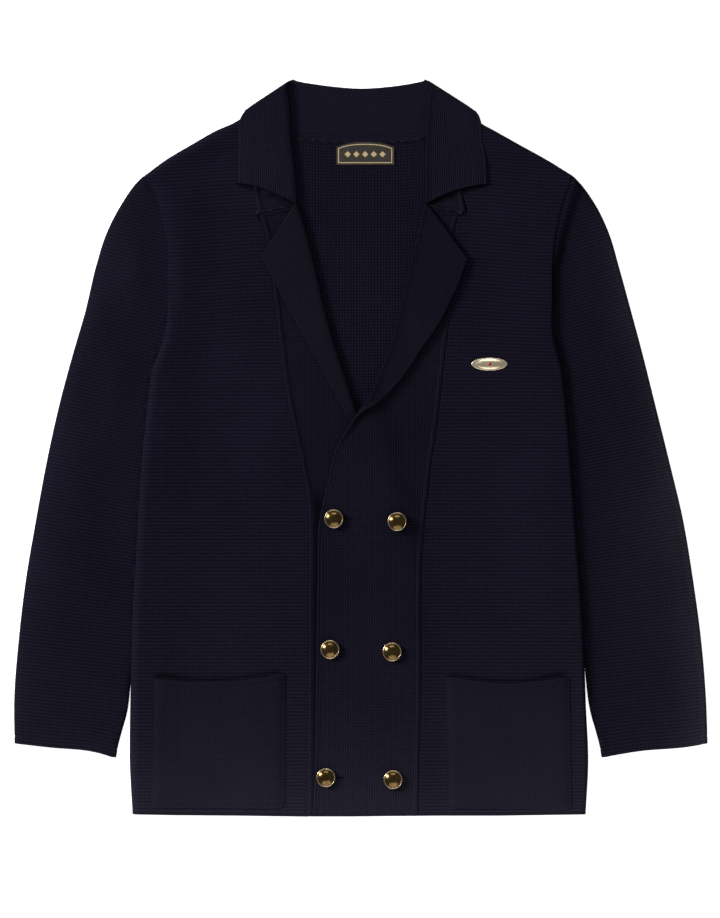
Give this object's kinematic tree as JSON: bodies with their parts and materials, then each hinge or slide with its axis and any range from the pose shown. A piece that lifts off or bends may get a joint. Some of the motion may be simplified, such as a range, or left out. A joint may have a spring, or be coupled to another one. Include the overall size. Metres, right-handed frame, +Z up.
{
  "type": "cardigan",
  "caption": "Long-sleeved double-breasted jacket cardigan in dark fine rib knit, with a notched collar, lapels, patch pockets and domed metal buttons, laid flat on its back.",
  "frame": {"origin": "middle of the garment's whole outline, on the surface that it lies on", "axes": "+X towards the wearer's left, +Y from the hem to the neck, +Z up out of the fronts"},
  "size_m": [0.7476, 0.7954, 0.0149],
  "materials": {
    "body_knit": "matt fine horizontal rib knit, near-black navy",
    "sleeve_knit": "matt fine rib knit across the sleeve, near-black navy",
    "trim_knit": "matt smooth close rib knit, near-black navy",
    "pocket_knit": "matt close horizontal rib knit, dark navy",
    "button_brass": "polished antique gold",
    "label_cloth": "woven satin label, charcoal",
    "pin_brass": "pale gold with a red enamel dot"
  },
  "bodies": {
    "root": {"back": "body_knit", "front_right": "body_knit", "front_left": "body_knit", "band_right": "trim_knit", "band_left": "trim_knit", "collar": "trim_knit", "sleeve_right": "sleeve_knit", "sleeve_left": "sleeve_knit", "pocket_right": "pocket_knit", "pocket_left": "pocket_knit", "button_1": "button_brass", "button_2": "button_brass", "button_3": "button_brass", "button_4": "button_brass", "button_5": "button_brass", "button_6": "button_brass", "neck_label": "label_cloth", "chest_pin": "pin_brass"}
  },
  "joints": []
}
